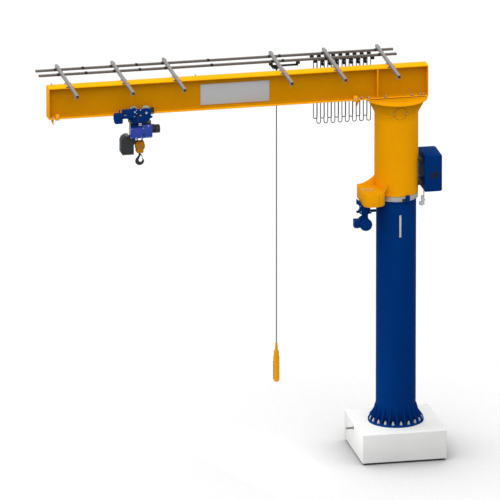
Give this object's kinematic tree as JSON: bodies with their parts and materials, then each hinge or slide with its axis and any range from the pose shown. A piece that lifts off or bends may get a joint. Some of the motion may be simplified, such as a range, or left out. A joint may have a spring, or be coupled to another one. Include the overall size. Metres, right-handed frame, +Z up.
{
  "type": "pillar slewing jib crane",
  "caption": "Pillar-mounted slewing jib crane with slewing drive, chain hoist on a powered trolley, festoon rails with looped cables and a hanging pendant control.",
  "frame": {"origin": "on the column's axis, at the underside of the foundation's bed", "axes": "+Z up, jib along -X at rest, festoon rails on the +Y side"},
  "size_m": [5.558, 1.5, 5.664],
  "materials": {
    "concrete": "cast concrete, smooth",
    "mortar": "dark levelling mortar",
    "mast_blue": "blue paint, satin",
    "crane_yellow": "traffic yellow paint, satin",
    "hook_orange": "yellow-orange paint, satin",
    "hoist_violet": "violet-blue paint, satin",
    "zinc": "zinc plated",
    "galvanised": "galvanised strip steel",
    "machined": "machined steel",
    "dark_cover": "dark grey moulded plastic",
    "black_fitting": "black moulded plastic",
    "black_steel": "black paint, semi-matt",
    "rubber": "cellular rubber",
    "cable": "black cable sheath",
    "sign_grey": "plain grey sheet, bare",
    "cover_grey": "light grey paint",
    "chain": "hardened chain steel",
    "pendant_yellow": "yellow moulded plastic"
  },
  "bodies": {
    "mast": {"foundation_bed": "mortar", "cable_conduit": "galvanised", "foundation_block": "concrete", "base_flange": "mast_blue", "gussets": "mast_blue", "anchor_bolts": "zinc", "column_tube": "mast_blue", "pivot_post": "mast_blue", "track_ring": "machined", "slew_stop": "rubber", "cable_cover": "cover_grey"},
    "jib": {"turret": "crane_yellow", "inspection_cover": "crane_yellow", "head_plate": "crane_yellow", "slew_housing": "crane_yellow", "slew_gearbox": "mast_blue", "slew_motor": "mast_blue", "slew_dog": "mast_blue", "jib_beam": "crane_yellow", "web_stiffeners": "crane_yellow", "end_stop_outer": "crane_yellow", "end_stop_inner": "crane_yellow", "sign_plate": "sign_grey", "support_arms": "galvanised", "rail_near": "galvanised", "rail_far": "galvanised", "rail_fittings": "black_fitting", "festoon_carriages": "black_fitting", "festoon_cable_near": "cable", "festoon_cable_far": "cable", "control_cabinet": "mast_blue", "cabinet_door": "mast_blue", "cabinet_brackets": "black_steel", "limit_switch": "cover_grey"},
    "trolley": {"trolley_frame": "mast_blue", "trolley_buffers": "rubber", "travel_gearbox": "mast_blue", "travel_motor": "mast_blue", "hoist_suspension": "black_steel", "hoist_body": "hoist_violet", "hoist_motor": "dark_cover", "chain_container": "dark_cover", "chain_falls": "chain"},
    "hook_block": {"hook_block": "hook_orange"},
    "hook": {"hook": "black_steel"},
    "latch": {"latch": "zinc"},
    "pendant": {"pendant_trolley": "black_fitting", "pendant_cable": "cable", "pendant_station": "pendant_yellow"},
    "wheel_1": {"wheel_1": "machined"},
    "wheel_2": {"wheel_2": "machined"},
    "wheel_3": {"wheel_3": "machined"},
    "wheel_4": {"wheel_4": "machined"}
  },
  "joints": [
    {"name": "slew", "type": "hinge", "parent": "mast", "child": "jib", "pos_m": [0, 0, 5.124], "axis": [0, 0, 1], "range_deg": [0, 340]},
    {"name": "trolley_travel", "type": "slide", "parent": "jib", "child": "trolley", "axis": [1, 0, 0], "range_m": [-0.94, 2.84]},
    {"name": "hoist_lift", "type": "slide", "parent": "trolley", "child": "hook_block", "axis": [0, 0, 1], "range_m": [-4.25, 0], "deforming": ["chain_falls"]},
    {"name": "hook_swivel", "type": "hinge", "parent": "hook_block", "child": "hook", "pos_m": [-3.64, 0, 4.594], "axis": [0, 0, 1], "continuous": true},
    {"name": "latch_pivot", "type": "hinge", "parent": "hook", "child": "latch", "pos_m": [-3.618, 0, 4.554], "axis": [0, 1, 0], "range_deg": [0, 35], "stiffness_Nm_per_rad": 0.4, "springref_deg": -28.65},
    {"name": "pendant_travel", "type": "slide", "parent": "jib", "child": "pendant", "axis": [1, 0, 0], "range_m": [-3.2, 0.13]},
    {"name": "wheel_1_spin", "type": "hinge", "parent": "trolley", "child": "wheel_1", "pos_m": [-3.746, 0, 5.2409], "axis": [0, 1, 0], "continuous": true},
    {"name": "wheel_2_spin", "type": "hinge", "parent": "trolley", "child": "wheel_2", "pos_m": [-3.574, 0, 5.2409], "axis": [0, 1, 0], "continuous": true},
    {"name": "wheel_3_spin", "type": "hinge", "parent": "trolley", "child": "wheel_3", "pos_m": [-3.746, 0, 5.2409], "axis": [0, 1, 0], "continuous": true},
    {"name": "wheel_4_spin", "type": "hinge", "parent": "trolley", "child": "wheel_4", "pos_m": [-3.574, 0, 5.2409], "axis": [0, 1, 0], "continuous": true}
  ],
  "couplings": [
    {"joint": "wheel_1_spin", "follows": "trolley_travel", "rad_per_m": 19.231},
    {"joint": "wheel_2_spin", "follows": "trolley_travel", "rad_per_m": 19.231},
    {"joint": "wheel_3_spin", "follows": "trolley_travel", "rad_per_m": 19.231},
    {"joint": "wheel_4_spin", "follows": "trolley_travel", "rad_per_m": 19.231}
  ]
}
